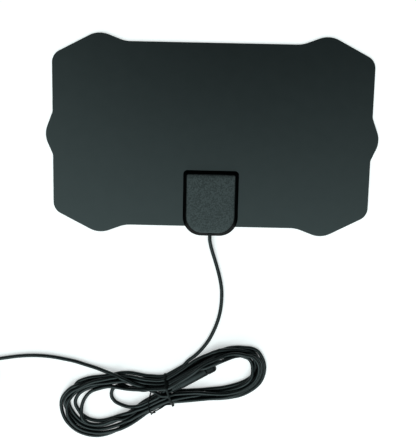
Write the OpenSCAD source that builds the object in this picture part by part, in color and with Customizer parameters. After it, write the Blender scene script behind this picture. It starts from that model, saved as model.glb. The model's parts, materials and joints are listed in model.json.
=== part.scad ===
// Flat indoor television antenna: a laminated sheet with foil elements, a moulded
// housing with an amplifier board, a coaxial lead folded into a hank, a television
// plug with a turning nut and a dust cap, and a power lead with its own plug.
// Millimetres. +X is to the right, +Y towards the sheet's top edge, +Z towards the
// viewer. The origin is under the middle of the sheet and housing, on the surface
// that the antenna lies on.

/* [Sheet] */
// Width of the sheet over its two side bumps
sheet_w = 332; // [324:1:344]
// Depth of the sheet over its corner peaks
sheet_d = 196; // [192:1:204]
// Thickness of the front sheet and of the rear sheet
film_t = 0.4; // [0.3:0.05:0.5]
// Thickness of the foils and of the adhesive round them
foil_t = 0.1; // [0.05:0.05:0.15]

/* [Housing] */
// Width of the housing where it meets the sheet
housing_w = 56; // [54:1:60]
// Length of the housing
housing_l = 66; // [64:1:70]
// How far the housing reaches past the sheet's lower edge
overhang = 9.5; // [9:0.5:11]
// Height of the front shell above the sheet
shell_h = 10; // [9.6:0.1:11]
// How far the side walls lean inwards over their height
wall_lean = 3.6; // [3:0.1:4]
// Wall thickness of the front shell
wall_t = 1.6; // [1.4:0.1:1.8]
// Thickness of the rear cover
cover_t = 1.4; // [1.4:0.1:2]

/* [Leads] */
// Diameter of the coaxial lead and of the power lead
lead_d = 3.8; // [3.6:0.1:3.9]
// Height of the hank of folded lead
hank_h = 10; // [9:0.5:11]

/* [Television plug] */
// Diameter of the moulded grip
grip_d = 10.8; // [10.6:0.1:11.4]
// Length of the moulded grip
grip_l = 41; // [40:0.5:42]
// Outer diameter of the coupling nut
nut_d = 10.6; // [10.4:0.1:11]
// Length of the coupling nut
nut_l = 7; // [6.5:0.5:7.5]
// Wall thickness of the dust cap
cap_wall = 0.5; // [0.4:0.05:0.6]
// How far the dust cap slides off along the plug
cap_travel = 12; // [10:1:12]

/* [Hidden] */
$fn = 48;

fit = 0.05;            // running gap between a round piece and its hole
eps = 0.01;            // overlap of tool bodies in a cut

// Sheet outline: one quarter, as corners [x, y, radius] from the sheet's centre
edge_y = sheet_d / 2 - 7.5;
side_x = sheet_w / 2 - 6.9;
quarter = [
    [87, edge_y, 30],
    [113, sheet_d / 2 + 2.2, 23.5],
    [side_x, 76.6, 13],
    [side_x, 21, 6],
];
bump = [sheet_w / 2 + 1.9, -1.5, 22.4];

// Heights of the layers, from the surface up
z_rear = cover_t;
z_foil = z_rear + film_t;
z_front = z_foil + foil_t;
z_top = z_front + film_t;
z_shell = z_top + shell_h;
z_ceiling = z_shell - wall_t;

// Places on the sheet and in the housing
total_d = sheet_d / 2 + edge_y + overhang;
sheet_y = total_d / 2 - sheet_d / 2;
sheet_low_y = sheet_y - edge_y;
housing_low_y = -total_d / 2;
housing_y = housing_low_y + housing_l / 2;

// Screws: [x, y] from the origin
cover_screw_at = [[-21, -41], [21, -41], [-17, -81.5], [17, -81.5]];
board_screw_at = [[-13, -49], [13, -75]];
clamp_screw_at = [[-6, -87], [6, -87]];
rivet_at = [[-8, -58], [8, -58]];
cover_screw_r = 1.25;
small_screw_r = 0.95;
post_r = 2.9;

// Board
board_w = 34;
board_l = 34;
board_y = -62;
board_z = 4.3;
board_t = 1.2;
board_top = board_z + board_t;

// Lead inside the housing
lead_r = lead_d / 2;
exit_z = 5.8;
exit_y = -98;
clamp_y = -87;
clamp_l = 5;
clamp_w = 17;

// Television plug: the middle of the grip's rear face, and the plug's direction
plug_at = [-35.5, -260.2, 6];
plug_turn = 31;
nut_at = grip_l + 0.4;
cap_at = nut_at + 0.3;
cap_r = nut_d / 2 + 0.07 + cap_wall;
cap_round = 2;
cap_l = nut_l + 0.1 + cap_round;
barrel_r = 3.2;
flange_r = 4.1;
thread_r = 4.35;

// Hank: outline and the two openings, as corners [x, y, radius]
hank_outline = [
    [-159, -253, 30], [-80, -243, 40], [-44, -252, 24], [32, -207, 24],
    [68, -225, 22], [56, -271, 26], [-36, -277, 40], [-112, -323, 22], [-153, -308, 26],
];
hank_right_hole = [[-30, -263, 2], [34, -259, 14], [48, -240, 8], [36, -225, 8], [4, -241, 4]];
hank_left_hole = [[-134, -267, 8], [-60, -265, 2], [-100, -299, 12], [-133, -288, 8]];
channel_w = 13.6;

// Tie round the hank's waist
tie_at = [-39.6, -264.2, 0];
tie_turn = 14;
tie_w = 2.4;
tie_t = 0.8;
tie_l = 32;

// Routes of the free leads, along their middles
coax_route = [
    [0, -98, 5.8], [0, -102, 5.8], [1, -108, 4.4], [2.9, -115, 3], [5.5, -123, 2.1],
    [8.3, -132, 2], [11.3, -143, 2], [13.3, -154, 2], [13.7, -165, 2], [12.7, -177, 2],
    [10.3, -188, 2], [6.4, -199, 2], [1.2, -209.8, 2.4], [-5, -219, 3.4], [-11.8, -227, 4.4],
];
power_route = [
    [-46, -267, 12], [-58, -262.5, 12], [-70, -258, 12], [-82, -253.5, 12], [-94, -249, 11.6],
    [-105, -245.7, 9.4], [-116, -242.2, 6.4], [-127, -238.9, 3.6], [-138, -235.5, 2.2],
    [-150, -233, 2], [-162, -231, 2], [-174, -230, 2], [-186, -230, 2],
    [-198, -231, 2], [-210, -232.8, 2], [-222, -234.8, 2], [-234, -235.7, 2], [-246, -236, 2],
];
tail_route = [
    [-267.2, -257, 2.2], [-268.4, -263, 2.6], [-268.9, -269, 3.4], [-269, -275, 4.2], [-269, -279, 4.4],
];

// Stored length of the power lead and its plug
coil_at = [-246, -257, 0];
coil_r = 21;
coil_band = 7.6;
usb_at = [-269, -279, 4.4];
usb_grip_size = [13, 20, 8.4];
usb_shell_size = [12, 12, 4.5];
usb_wall = 0.3;

// ---- outlines ----

function unit(v) = v / norm(v);
function xy(v) = [v.x, v.y];
function turned(v) = [for (i = [len(v) - 1 : -1 : 0]) v[i]];
function flipped(v, sx, sy) = [for (p = v) [p.x * sx, p.y * sy, p.z]];

// Arc of radius r that rounds the corner b between a and c
function corner_arc(a, b, c, r, steps) =
    let (u = unit(a - b), w = unit(c - b), half = acos(u * w) / 2,
         centre = b + unit(u + w) * r / sin(half),
         from = b + u * r / tan(half) - centre,
         to = b + w * r / tan(half) - centre,
         start = atan2(from.y, from.x),
         raw = atan2(to.y, to.x) - start,
         sweep = raw > 180 ? raw - 360 : raw < -180 ? raw + 360 : raw)
    [for (i = [0 : steps]) centre + r * [cos(start + sweep * i / steps), sin(start + sweep * i / steps)]];

// Closed outline through corners [x, y, radius], each rounded
function rounded(v, steps = 8) =
    let (n = len(v))
    [for (i = [0 : n - 1]) each corner_arc(xy(v[(i + n - 1) % n]), xy(v[i]), xy(v[(i + 1) % n]), v[i].z, steps)];

sheet_corners = concat(
    quarter, [bump], turned(flipped(quarter, 1, -1)),
    flipped(quarter, -1, -1), [flipped([bump], -1, 1)[0]], turned(flipped(quarter, -1, 1)));

module sheet_outline() {
    translate([0, sheet_y]) polygon(rounded(sheet_corners));
}

// Shield shape of the housing, drawn in by inset
module shield(inset = 0, steps = 8) {
    x = housing_w / 2 - inset;
    top = housing_y + housing_l / 2 - inset;
    low = housing_y - housing_l / 2 + inset;
    r_top = max(4 - inset * 0.5, 1);
    r_low = 19 - inset * 0.6;
    polygon(rounded([[-x, top, r_top], [x, top, r_top], [x, low, r_low], [-x, low, r_low]], steps));
}

module slab(z, t) {
    translate([0, 0, z]) linear_extrude(t) children();
}

module at_each(places, z = 0) {
    for (p = places) translate([p.x, p.y, z]) children();
}

// Round bar along Y from y0 to y1
module bar_y(r, y0, y1, x = 0, z = 0) {
    translate([x, y1, z]) rotate([90, 0, 0]) cylinder(h = y1 - y0, r = r);
}

// ---- sheet antenna ----

module cover_screw_holes() {
    at_each(cover_screw_at, -1) cylinder(h = z_shell, r = cover_screw_r + 0.35);
}

module front_film() {
    color("#1c2122") difference() {
        slab(z_front, film_t) sheet_outline();
        cover_screw_holes();
        at_each(rivet_at, z_foil) cylinder(h = 2, r = 1 + fit);
    }
}

module rear_film() {
    color("#17191a") difference() {
        slab(z_rear, film_t) sheet_outline();
        cover_screw_holes();
    }
}

// Right antenna element: a feed tab and a broad field with two slots
foil_corners = [
    [5, -56, 2], [11.5, -56, 2], [16, -20, 8], [150, -60, 8], [150, 20, 14],
    [128, 78, 16], [24, 78, 10], [24, 4, 10], [5, -16, 8],
];
module foil_shape() {
    difference() {
        polygon(rounded(foil_corners, 6));
        polygon(rounded([[44, 60, 3], [118, 60, 3], [118, 50, 3], [44, 50, 3]], 4));
        polygon(rounded([[60, 28, 3], [134, 28, 3], [134, 18, 3], [60, 18, 3]], 4));
    }
}

module bond_layer() {
    color("#9a9478") difference() {
        slab(z_foil, foil_t) sheet_outline();
        cover_screw_holes();
        for (side = [0, 1]) mirror([side, 0, 0]) slab(z_foil - 1, 3) offset(delta = 0.3) foil_shape();
    }
}

module right_foil() {
    color("#b8babb") slab(z_foil, foil_t) foil_shape();
}

module left_foil() {
    color("#b8babb") mirror([1, 0, 0]) slab(z_foil, foil_t) foil_shape();
}

module feed_rivets() {
    color("#b5913f") at_each(rivet_at) {
        translate([0, 0, z_front]) cylinder(h = film_t + eps, r = 1);
        translate([0, 0, z_top]) cylinder(h = 0.3, r = 1.8);
    }
}

// ---- housing ----

module front_shell() {
    edge = 1;
    color("#202526") difference() {
        union() {
            difference() {
                hull() {
                    slab(z_top, eps) shield();
                    slab(z_shell - edge, eps) shield(wall_lean);
                    slab(z_shell - eps, eps) shield(wall_lean + edge);
                }
                hull() {
                    slab(z_top - eps, eps) shield(wall_t);
                    slab(z_ceiling, eps) shield(wall_t + wall_lean);
                }
            }
            at_each(cover_screw_at, z_top) cylinder(h = shell_h - wall_t + 0.3, r = post_r);
            at_each(board_screw_at, board_top) cylinder(h = z_ceiling - board_top + 0.3, r = 2.2);
            translate([-clamp_w / 2, clamp_y - clamp_l / 2, exit_z])
                cube([clamp_w, clamp_l, z_ceiling - exit_z + 0.3]);
        }
        at_each(cover_screw_at, z_top - 1) cylinder(h = 8, r = cover_screw_r + fit);
        at_each(board_screw_at, board_z) cylinder(h = 4.5, r = small_screw_r + fit);
        at_each(clamp_screw_at, exit_z - 1) cylinder(h = 4.4, r = small_screw_r + fit);
        bar_y(lead_r + fit, housing_low_y - 2, clamp_y + clamp_l, 0, exit_z);
    }
}

module rear_cover() {
    color("#1a1d1e") difference() {
        union() {
            slab(0, cover_t) shield(0, 12);
            slab(cover_t - eps, z_top - cover_t + eps) intersection() {
                difference() {
                    shield(0, 12);
                    shield(wall_t, 12);
                }
                translate([-housing_w, housing_low_y])
                    square([2 * housing_w, sheet_low_y - housing_low_y - 0.15]);
            }
        }
        at_each(cover_screw_at, -eps) {
            cylinder(h = cover_t + 1, r = cover_screw_r + 0.2);
            cylinder(h = 1.2, r1 = 2.6, r2 = cover_screw_r + 0.2);
        }
    }
}

module cover_screws() {
    head_h = 1;
    color("#8d9094") difference() {
        at_each(cover_screw_at) {
            cylinder(h = head_h, r1 = 2.3, r2 = cover_screw_r);
            translate([0, 0, head_h - eps]) cylinder(h = 8, r = cover_screw_r);
        }
        at_each(cover_screw_at, -eps) for (turn = [0, 90])
            rotate(turn) translate([-1.3, -0.25, 0]) cube([2.6, 0.5, 0.6]);
    }
}

// Pan-head screw that points up, its head under z
module pan_screw(z, length, head_r = 1.7, head_h = 0.8) {
    difference() {
        union() {
            translate([0, 0, z - head_h]) cylinder(h = head_h, r = head_r);
            translate([0, 0, z - eps]) cylinder(h = length, r = small_screw_r);
        }
        for (turn = [0, 90])
            rotate(turn) translate([-1, -0.2, z - head_h - eps]) cube([2, 0.4, 0.4]);
    }
}

module circuit_board() {
    color("#1f5a38") difference() {
        translate([-board_w / 2, board_y - board_l / 2, board_z]) cube([board_w, board_l, board_t]);
        at_each(board_screw_at, board_z - 1) cylinder(h = board_t + 2, r = small_screw_r + 0.15);
        at_each([[-17, -81.5], [17, -81.5]], board_z - 1) cylinder(h = board_t + 2, r = post_r + 0.6);
    }
}

module board_screws() {
    color("#8d9094") at_each(board_screw_at) pan_screw(board_z, 4.5);
}

module clamp_screws() {
    color("#8d9094") at_each(clamp_screw_at) pan_screw(exit_z - 2.6, 5.6, 1.6, 0.7);
}

// Leaf spring from the board's pad down to the rivet's head
module contact_springs() {
    low = z_top + 0.3;
    leaf = 0.2;
    color("#c08a4a") at_each(rivet_at) rotate([90, 0, 0]) linear_extrude(2, center = true) polygon([
        [-1.2, low], [1, low], [3.6, board_z - leaf], [6, board_z - leaf], [6, board_z],
        [3.4, board_z], [0.9, low + leaf], [-1.2, low + leaf],
    ]);
}

core_at = [0, -52];
module balun_core() {
    color("#2b2b2e") difference() {
        translate([core_at.x - 3.5, core_at.y - 3, board_top]) cube([7, 6, 3.6]);
        for (x = [-1.7, 1.7]) bar_y(1, core_at.y - 4, core_at.y + 4, core_at.x + x, board_top + 1.8);
    }
}

// Stadium of half width r along Y, round the two bores of the core
module stadium(r) {
    for (y = [-3.4, 3.4]) translate([0, y]) circle(r);
    translate([-r, -3.4]) square([2 * r, 6.8]);
}

module balun_winding() {
    half = 0.22;
    color("#b0622c") translate([core_at.x, core_at.y, board_top + 1.8 - half])
        for (r = [1.35, 1.95]) linear_extrude(2 * half) difference() {
            stadium(r + half);
            stadium(r - half);
        }
}

can_at = [-5, -66];
can_size = [15, 12, 3];
module shield_can() {
    t = 0.25;
    color("#b9bcc0") translate([can_at.x - can_size.x / 2, can_at.y - can_size.y / 2, board_top]) difference() {
        cube(can_size);
        translate([t, t, -t]) cube(can_size - [2 * t, 2 * t, 0]);
        for (i = [0 : 3]) translate([2.5 + i * 3.3, can_size.y / 2, 0]) cylinder(h = 5, r = 0.7);
    }
}

module amplifier_chip() {
    body = [4, 4, 0.9];
    color("#26282a") translate([can_at.x, can_at.y, board_top]) {
        translate([-body.x / 2, -body.y / 2, 0.1]) cube(body);
        for (side = [-1, 1], i = [0 : 3])
            translate([side * 2.35 - 0.4, -1.75 + i, 0]) cube([0.8, 0.4, 0.3]);
    }
}

capacitor_at = [[-9, -70], [-1, -70], [-9, -62.5], [6, -60], [10, -64], [10, -68], [-12, -56]];
module chip_capacitors() {
    color("#b9a074") at_each(capacitor_at, board_top) translate([-0.8, -0.4, 0]) cube([1.6, 0.8, 0.8]);
}

inductor_at = [[6, -66], [6, -70.5], [10, -58]];
module chip_inductors() {
    color("#3c3f44") at_each(inductor_at, board_top) {
        translate([-1.1, -0.8, 0]) cube([2.2, 1.6, 0.4]);
        cylinder(h = 1.4, r = 0.75);
    }
}

// Solder at the balun's wires, the braid's tails and the spring pads
joint_at = [[-4.6, -48], [4.6, -48], [-3, -76.5], [3, -76.5], [12.4, -55]];
module solder_joints() {
    color("#c6c9cb") at_each(joint_at, board_top) cylinder(h = 0.7, r1 = 0.9, r2 = 0.35);
}

module cable_clamp() {
    color("#e6e4dc") difference() {
        translate([-clamp_w / 2, clamp_y - clamp_l / 2, exit_z - 2.6]) cube([clamp_w, clamp_l, 2.5]);
        bar_y(lead_r + fit, clamp_y - clamp_l, clamp_y + clamp_l, 0, exit_z);
        at_each(clamp_screw_at, 0) cylinder(h = 9, r = small_screw_r + 0.15);
    }
}

// Tube of the lead inside the housing, from the wall inwards
module lead_layer(r_out, r_in, y_end) {
    difference() {
        bar_y(r_out, exit_y, y_end, 0, exit_z);
        if (r_in > 0) bar_y(r_in, exit_y - 1, y_end + 1, 0, exit_z);
    }
}

braid_r = 1.5;
dielectric_r = 1.2;
wire_r = 0.3;
module lead_jacket_end() { color("#151718") lead_layer(lead_r, braid_r, -83.5); }
module lead_braid() { color("#a9abad") lead_layer(braid_r, dielectric_r, -81.5); }
module lead_dielectric() { color("#e9e7df") lead_layer(dielectric_r, wire_r, -79.3); }
module lead_core() { color("#b87333") lead_layer(wire_r, 0, -76.8); }

// ---- free leads ----

// Tube of eight sides swept along a route. Each ring stands square to the route.
module swept_tube(route, r, sides = 8) {
    n = len(route);
    rings = [for (i = [0 : n - 1])
        let (way = unit(route[min(i + 1, n - 1)] - route[max(i - 1, 0)]),
             across = unit(cross([0, 0, 1], way)), up = cross(way, across))
        [for (k = [0 : sides - 1]) route[i] + r * (across * cos(360 * k / sides) + up * sin(360 * k / sides))]];
    walls = [for (i = [0 : n - 2], k = [0 : sides - 1])
        let (a = i * sides + k, b = i * sides + (k + 1) % sides) [a, a + sides, b + sides, b]];
    first = [for (k = [0 : sides - 1]) k];
    last = [for (k = [sides - 1 : -1 : 0]) (n - 1) * sides + k];
    polyhedron([for (ring = rings) each ring], concat([first], walls, [last]));
}

module coax_lead() { color("#141617") swept_tube(coax_route, lead_r); }
module power_lead() { color("#141617") swept_tube(power_route, lead_r); }
module power_tail() { color("#141617") swept_tube(tail_route, lead_r); }

// Puts children in the plug's frame: +X along the plug, origin at the grip's rear face
module on_plug() {
    translate(plug_at) rotate(plug_turn) children();
}

// Round bar along the plug from x0 to x1
module plug_bar(r, x0, x1) {
    translate([x0, 0, 0]) rotate([0, 90, 0]) cylinder(h = x1 - x0, r = r);
}

module cord_hank() {
    color("#141617") difference() {
        linear_extrude(hank_h) difference() {
            polygon(rounded(hank_outline));
            polygon(rounded(hank_right_hole, 6));
            polygon(rounded(hank_left_hole, 6));
        }
        on_plug() translate([0, -channel_w / 2, -20])
            cube([cap_at + cap_l + cap_travel + 2, channel_w, 40]);
        tie_box(tie_w + 0.4, tie_l, -1, tie_t + 0.1 + 1);
    }
}

module tie_box(w, l, z, h) {
    translate([tie_at.x, tie_at.y, z]) rotate(tie_turn) translate([-w / 2, -l / 2, 0]) cube([w, l, h]);
}

module twist_tie() {
    color("#101112") difference() {
        tie_box(tie_w, tie_l, 0, hank_h + 2 * tie_t + 0.3);
        tie_box(tie_w + 1, tie_l - 2 * tie_t, tie_t, hank_h + 0.3);
    }
}

// ---- television plug ----

bias_room = [12, 26];  // the hollow in the grip, along the plug
module plug_grip() {
    color("#121415") on_plug() difference() {
        rotate([0, 90, 0]) rotate_extrude() polygon([
            [0, 0], [4, 0], [4.4, 0.6], [grip_d / 2 - 0.3, 9], [grip_d / 2, 12],
            [grip_d / 2, grip_l - 0.6], [grip_d / 2 - 0.6, grip_l], [0, grip_l],
        ]);
        plug_bar(4.4, bias_room[0], bias_room[1] + 2);
        plug_bar(barrel_r, bias_room[1] + 2 - eps, grip_l + 1);
    }
}

module plug_board() {
    color("#1f5a38") on_plug() translate([bias_room[0] + 0.5, -4, -0.6]) cube([bias_room[1] - bias_room[0], 8, 1]);
}

module plug_choke() {
    color("#3a2c22") on_plug() {
        translate([bias_room[0] + 4, 0, 0.4]) cylinder(h = 2.4, r = 2.2);
        translate([bias_room[0] + 8.5, -1.2, 0.4]) cube([3.2, 2.4, 1.6]);
    }
}

module plug_barrel() {
    color("#c9cbcd") on_plug() difference() {
        union() {
            plug_bar(barrel_r, bias_room[1] + 2, nut_at + 2.2);
            plug_bar(flange_r, nut_at + 1.4, nut_at + 2.2);
        }
        plug_bar(2, bias_room[1] - 1, nut_at + 3);
    }
}

module plug_insulator() {
    color("#efece2") on_plug() difference() {
        plug_bar(2, bias_room[1] + 3, nut_at + 1.8);
        plug_bar(0.5, bias_room[1], nut_at + 3);
    }
}

module plug_pin() {
    color("#c98a4b") on_plug() plug_bar(0.5, bias_room[1] + 0.8, nut_at + nut_l - 0.2);
}

module plug_nut() {
    grooves = 24;
    color("#c9cbcd") on_plug() difference() {
        plug_bar(nut_d / 2, nut_at, nut_at + nut_l);
        plug_bar(barrel_r + fit, nut_at - 1, nut_at + nut_l);
        plug_bar(thread_r, nut_at + 1.2, nut_at + nut_l + 1);
        for (k = [0 : grooves - 1]) rotate([360 * k / grooves, 0, 0])
            translate([nut_at + 0.8, 0, nut_d / 2 + 0.15]) rotate([0, 90, 0]) cylinder(h = nut_l - 1.6, r = 0.4, $fn = 16);
    }
}

module plug_cap() {
    low = cap_r - cap_round;
    color("#0d0e0f") on_plug() rotate([0, 90, 0]) translate([0, 0, cap_at]) difference() {
        rotate_extrude() polygon([
            [0, 0], [cap_r, 0],
            for (a = [0 : 15 : 90]) [low + cap_round * cos(a), cap_l - cap_round + cap_round * sin(a)],
            [0, cap_l],
        ]);
        translate([0, 0, -1]) cylinder(h = cap_l - cap_round + 1, r = cap_r - cap_wall);
    }
}

// ---- stored power lead and its plug ----

module power_coil() {
    color("#141617") translate(coil_at) rotate_extrude($fn = 96) translate([coil_r, 0])
        polygon(rounded([
            [-coil_band / 2, 0, 1.8], [coil_band / 2, 0, 1.8],
            [coil_band / 2, coil_band, 1.8], [-coil_band / 2, coil_band, 1.8],
        ], 3));
}

module usb_grip() {
    s = usb_grip_size;
    color("#121415") translate(usb_at) translate([0, 0, -s.z / 2]) linear_extrude(s.z)
        polygon(rounded([[-s.x / 2, 0, 4], [s.x / 2, 0, 4], [s.x / 2, -s.y, 1], [-s.x / 2, -s.y, 1]], 6));
}

module usb_shell() {
    s = usb_shell_size;
    color("#c3c5c8") translate([usb_at.x - s.x / 2, usb_at.y - usb_grip_size.y - s.y, usb_at.z - s.z / 2])
        difference() {
            cube(s);
            translate([usb_wall, -1, usb_wall]) cube([s.x - 2 * usb_wall, s.y + 2, s.z - 2 * usb_wall]);
            for (x = [3, 9]) translate([x - 1.2, 4.5, s.z - 1]) cube([2.4, 2, 2]);
        }
}

tongue_t = 1.8;
module usb_tongue() {
    s = usb_shell_size;
    color("#e8e8e4") translate([usb_at.x, usb_at.y - usb_grip_size.y, usb_at.z - s.z / 2 + usb_wall])
        translate([-s.x / 2 + usb_wall, -s.y + 0.8, 0]) cube([s.x - 2 * usb_wall, s.y - 0.8, tongue_t]);
}

module usb_contacts() {
    s = usb_shell_size;
    color("#c9a24a") for (x = [-3.5, -1, 1, 3.5])
        translate([usb_at.x + x - 0.5, usb_at.y - usb_grip_size.y - s.y + 1.6, usb_at.z - s.z / 2 + usb_wall + tongue_t])
            cube([1, s.y - 2.4, 0.15]);
}

front_film();
rear_film();
bond_layer();
left_foil();
right_foil();
feed_rivets();
front_shell();
rear_cover();
cover_screws();
circuit_board();
board_screws();
contact_springs();
balun_core();
balun_winding();
shield_can();
amplifier_chip();
chip_capacitors();
chip_inductors();
solder_joints();
cable_clamp();
clamp_screws();
lead_jacket_end();
lead_braid();
lead_dielectric();
lead_core();
coax_lead();
cord_hank();
twist_tie();
plug_grip();
plug_board();
plug_choke();
plug_barrel();
plug_insulator();
plug_pin();
plug_nut();
plug_cap();
power_lead();
power_coil();
power_tail();
usb_grip();
usb_shell();
usb_tongue();
usb_contacts();
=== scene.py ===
"""Looks of the flat indoor television antenna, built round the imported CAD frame. Metres."""
import json
import math

import bmesh
import bpy
import numpy as np
from mathutils import Matrix, Vector


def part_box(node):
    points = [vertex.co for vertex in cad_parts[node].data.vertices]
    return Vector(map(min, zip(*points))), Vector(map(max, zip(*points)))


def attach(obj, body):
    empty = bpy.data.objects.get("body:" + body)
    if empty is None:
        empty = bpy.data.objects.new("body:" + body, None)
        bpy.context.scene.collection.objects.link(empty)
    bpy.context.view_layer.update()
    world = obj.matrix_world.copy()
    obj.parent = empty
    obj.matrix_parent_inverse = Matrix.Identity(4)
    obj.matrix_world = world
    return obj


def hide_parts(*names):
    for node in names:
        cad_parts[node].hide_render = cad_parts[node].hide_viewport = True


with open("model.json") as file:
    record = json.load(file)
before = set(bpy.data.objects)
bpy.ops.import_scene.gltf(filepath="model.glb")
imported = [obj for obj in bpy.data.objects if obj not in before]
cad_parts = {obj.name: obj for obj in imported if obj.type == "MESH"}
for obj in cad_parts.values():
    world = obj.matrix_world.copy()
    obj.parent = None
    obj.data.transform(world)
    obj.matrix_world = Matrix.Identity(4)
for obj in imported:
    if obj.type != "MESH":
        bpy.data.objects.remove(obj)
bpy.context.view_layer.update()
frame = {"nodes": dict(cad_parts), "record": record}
MM = 0.001

# ---------------------------------------------------------------- camera

CAMERA_AT = (-0.0007, -0.0302, 0.5076)
CAMERA_TILT = math.radians(-6.19)
CAMERA_PAN = math.radians(0.16)
CAMERA_ROLL = math.radians(1.26)
SENSOR_WIDTH = 36.0
FOCAL_LENGTH = 43.27


def make_camera():
    """The camera looks down on the sheet, tilted a little towards its top edge."""
    data = bpy.data.cameras.new("camera")
    data.sensor_fit = "HORIZONTAL"
    data.sensor_width = SENSOR_WIDTH
    data.lens = FOCAL_LENGTH
    camera = bpy.data.objects.new("camera", data)
    bpy.context.scene.collection.objects.link(camera)
    turn = (
        Matrix.Rotation(CAMERA_TILT, 4, "X")
        @ Matrix.Rotation(CAMERA_PAN, 4, "Y")
        @ Matrix.Rotation(CAMERA_ROLL, 4, "Z")
    )
    camera.matrix_world = Matrix.Translation(CAMERA_AT) @ turn
    bpy.context.scene.camera = camera


make_camera()

# ---------------------------------------------------------------- the frame's sizes, in millimetres

shell_low, shell_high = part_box("front_shell")
HOUSING_W = (shell_high[0] - shell_low[0]) / MM
HOUSING_L = (shell_high[1] - shell_low[1]) / MM
HOUSING_LOW = shell_low[1] / MM
Z_SHEET = shell_low[2] / MM
Z_TOP = shell_high[2] / MM

# The housing's other sizes, as in part.scad
WALL = 1.6
WALL_LEAN = 3.6        # how far the walls lean in from the sheet to the top
FILLET = 1.9           # rounding of the top's edge
LOW_CORNER = 19
TOP_CORNER = 4
Z_CEILING = Z_TOP - WALL
COVER_SCREWS = ((-21, -41), (21, -41), (-17, -81.5), (17, -81.5))
COVER_POST = (2.9, 1.3)     # outer and inner radius
BOARD_SCREWS = ((-13, -49), (13, -75))
BOARD_POST = (2.2, 1.0)
POST_ROOT = 0.3        # how far the posts reach into the ceiling
BOARD_TOP = 5.5
EXIT_Z = 5.8
LEAD_HOLE_R = 1.95
# Steep faces get the shell's copy with almost no reflection, painted shade.
STEEP = 0.75           # faces whose normal rises less than this are walls

# ---------------------------------------------------------------- cords

CORD_D = 0.0038
CORD_R = CORD_D / 2
STEP = 0.0025          # spacing of the points along a cord while it settles
FINE_STEP = 0.0014     # spacing of the points that its surface is made from

# The plug: middle of the grip's rear face, direction, and lengths along it
PLUG_AT = np.array([-0.0355, -0.2602, 0.006])
PLUG_TURN = math.radians(31)
PLUG_WAY = np.array([math.cos(PLUG_TURN), math.sin(PLUG_TURN), 0.0])
PLUG_SIDE = np.array([-math.sin(PLUG_TURN), math.cos(PLUG_TURN), 0.0])
GRIP_L = 0.041
GRIP_R = 0.0057
CAP_R = 0.00587
CAP_END = 0.0508
CAP_TRAVEL = 0.012
REAR_SPLIT = 0.0021    # how far each lead's middle lies from the plug's axis
REAR_STRAIGHT = 0.0045  # each lead's straight run behind the plug

# The free lead from the housing to the hank, as in part.scad
COAX_ROUTE = [
    (0, -0.098, 0.0058), (0, -0.102, 0.0058), (0.001, -0.108, 0.0044), (0.0029, -0.115, 0.003),
    (0.0055, -0.123, 0.0021), (0.0083, -0.132, 0.002), (0.0113, -0.143, 0.002), (0.0133, -0.154, 0.002),
    (0.0137, -0.165, 0.002), (0.0127, -0.177, 0.002), (0.0103, -0.188, 0.002), (0.0064, -0.199, 0.002),
    (0.0012, -0.2098, 0.0024), (-0.005, -0.219, 0.0034), (-0.0118, -0.227, 0.0044),
]
# The power lead from the tie over the hank and out to the left, as in part.scad
POWER_ROUTE = [
    (-0.046, -0.267, 0.012), (-0.058, -0.2625, 0.012), (-0.07, -0.258, 0.012), (-0.082, -0.2535, 0.012),
    (-0.094, -0.249, 0.0116), (-0.105, -0.2457, 0.0094), (-0.116, -0.2422, 0.0064), (-0.127, -0.2389, 0.0036),
    (-0.138, -0.2355, 0.0022), (-0.15, -0.233, 0.002), (-0.162, -0.231, 0.002), (-0.174, -0.23, 0.002),
    (-0.186, -0.23, 0.002), (-0.198, -0.231, 0.002), (-0.21, -0.2328, 0.002), (-0.222, -0.2348, 0.002),
    (-0.234, -0.2357, 0.002),
]
# The stored coil of the power lead, and the middle of the USB grip's rear face
COIL_AT = (-0.246, -0.257)
COIL_R = 0.021
COIL_TURNS = 2
USB_AT = (-0.269, -0.279, 0.0044)

# The tie round the hank's waist
TIE_AT = np.array([-0.0396, -0.2642])
TIE_TURN = math.radians(14)
TIE_WAY = np.array([-math.sin(TIE_TURN), math.cos(TIE_TURN)])
TIE_NORMAL = np.array([math.cos(TIE_TURN), math.sin(TIE_TURN)])
TIE_W = 0.0024
TIE_T = 0.0007
WIRE_R = 0.0007        # the twisted knot and the loose ends
KNOT_L = 0.0024
KNOT_TURNS = 1.5

# The tie's two loose ends, seen from above
TIE_TAILS = [
    [(-0.0365, -0.2786), (-0.0421, -0.2792), (-0.0471, -0.2828), (-0.0534, -0.2876), (-0.0588, -0.2932)],
    [(-0.0535, -0.2900), (-0.0575, -0.2880), (-0.0598, -0.2830), (-0.0603, -0.2780), (-0.0598, -0.2725),
     (-0.0582, -0.2658)],
]

# The hank's track, from the tie's upper side leftwards and round: the middle of the band
# of strands, and half the width that the strands' middles spread over
TRACK = [
    (-0.041, -0.2555, 0.0040), (-0.060, -0.2560, 0.0050), (-0.082, -0.2547, 0.0073),
    (-0.104, -0.2575, 0.0065), (-0.124, -0.2612, 0.0067), (-0.1375, -0.2685, 0.0075),
    (-0.1445, -0.2795, 0.0090), (-0.1412, -0.2932, 0.0100), (-0.1310, -0.3035, 0.0100),
    (-0.1150, -0.3073, 0.0090), (-0.0980, -0.3032, 0.0075), (-0.0800, -0.2932, 0.0064),
    (-0.0620, -0.2816, 0.0058), (-0.0400, -0.2715, 0.0055), (-0.0200, -0.2689, 0.0042),
    (0.0000, -0.2679, 0.0042), (0.0200, -0.2661, 0.0043), (0.0385, -0.2598, 0.0053),
    (0.0505, -0.2495, 0.0062), (0.0537, -0.2350, 0.0070), (0.0494, -0.2246, 0.0060),
    (0.0405, -0.2220, 0.0046), (0.0270, -0.2216, 0.0045), (0.0090, -0.2283, 0.0050),
    (-0.0080, -0.2368, 0.0050), (-0.0240, -0.2465, 0.0040),
]
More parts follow.
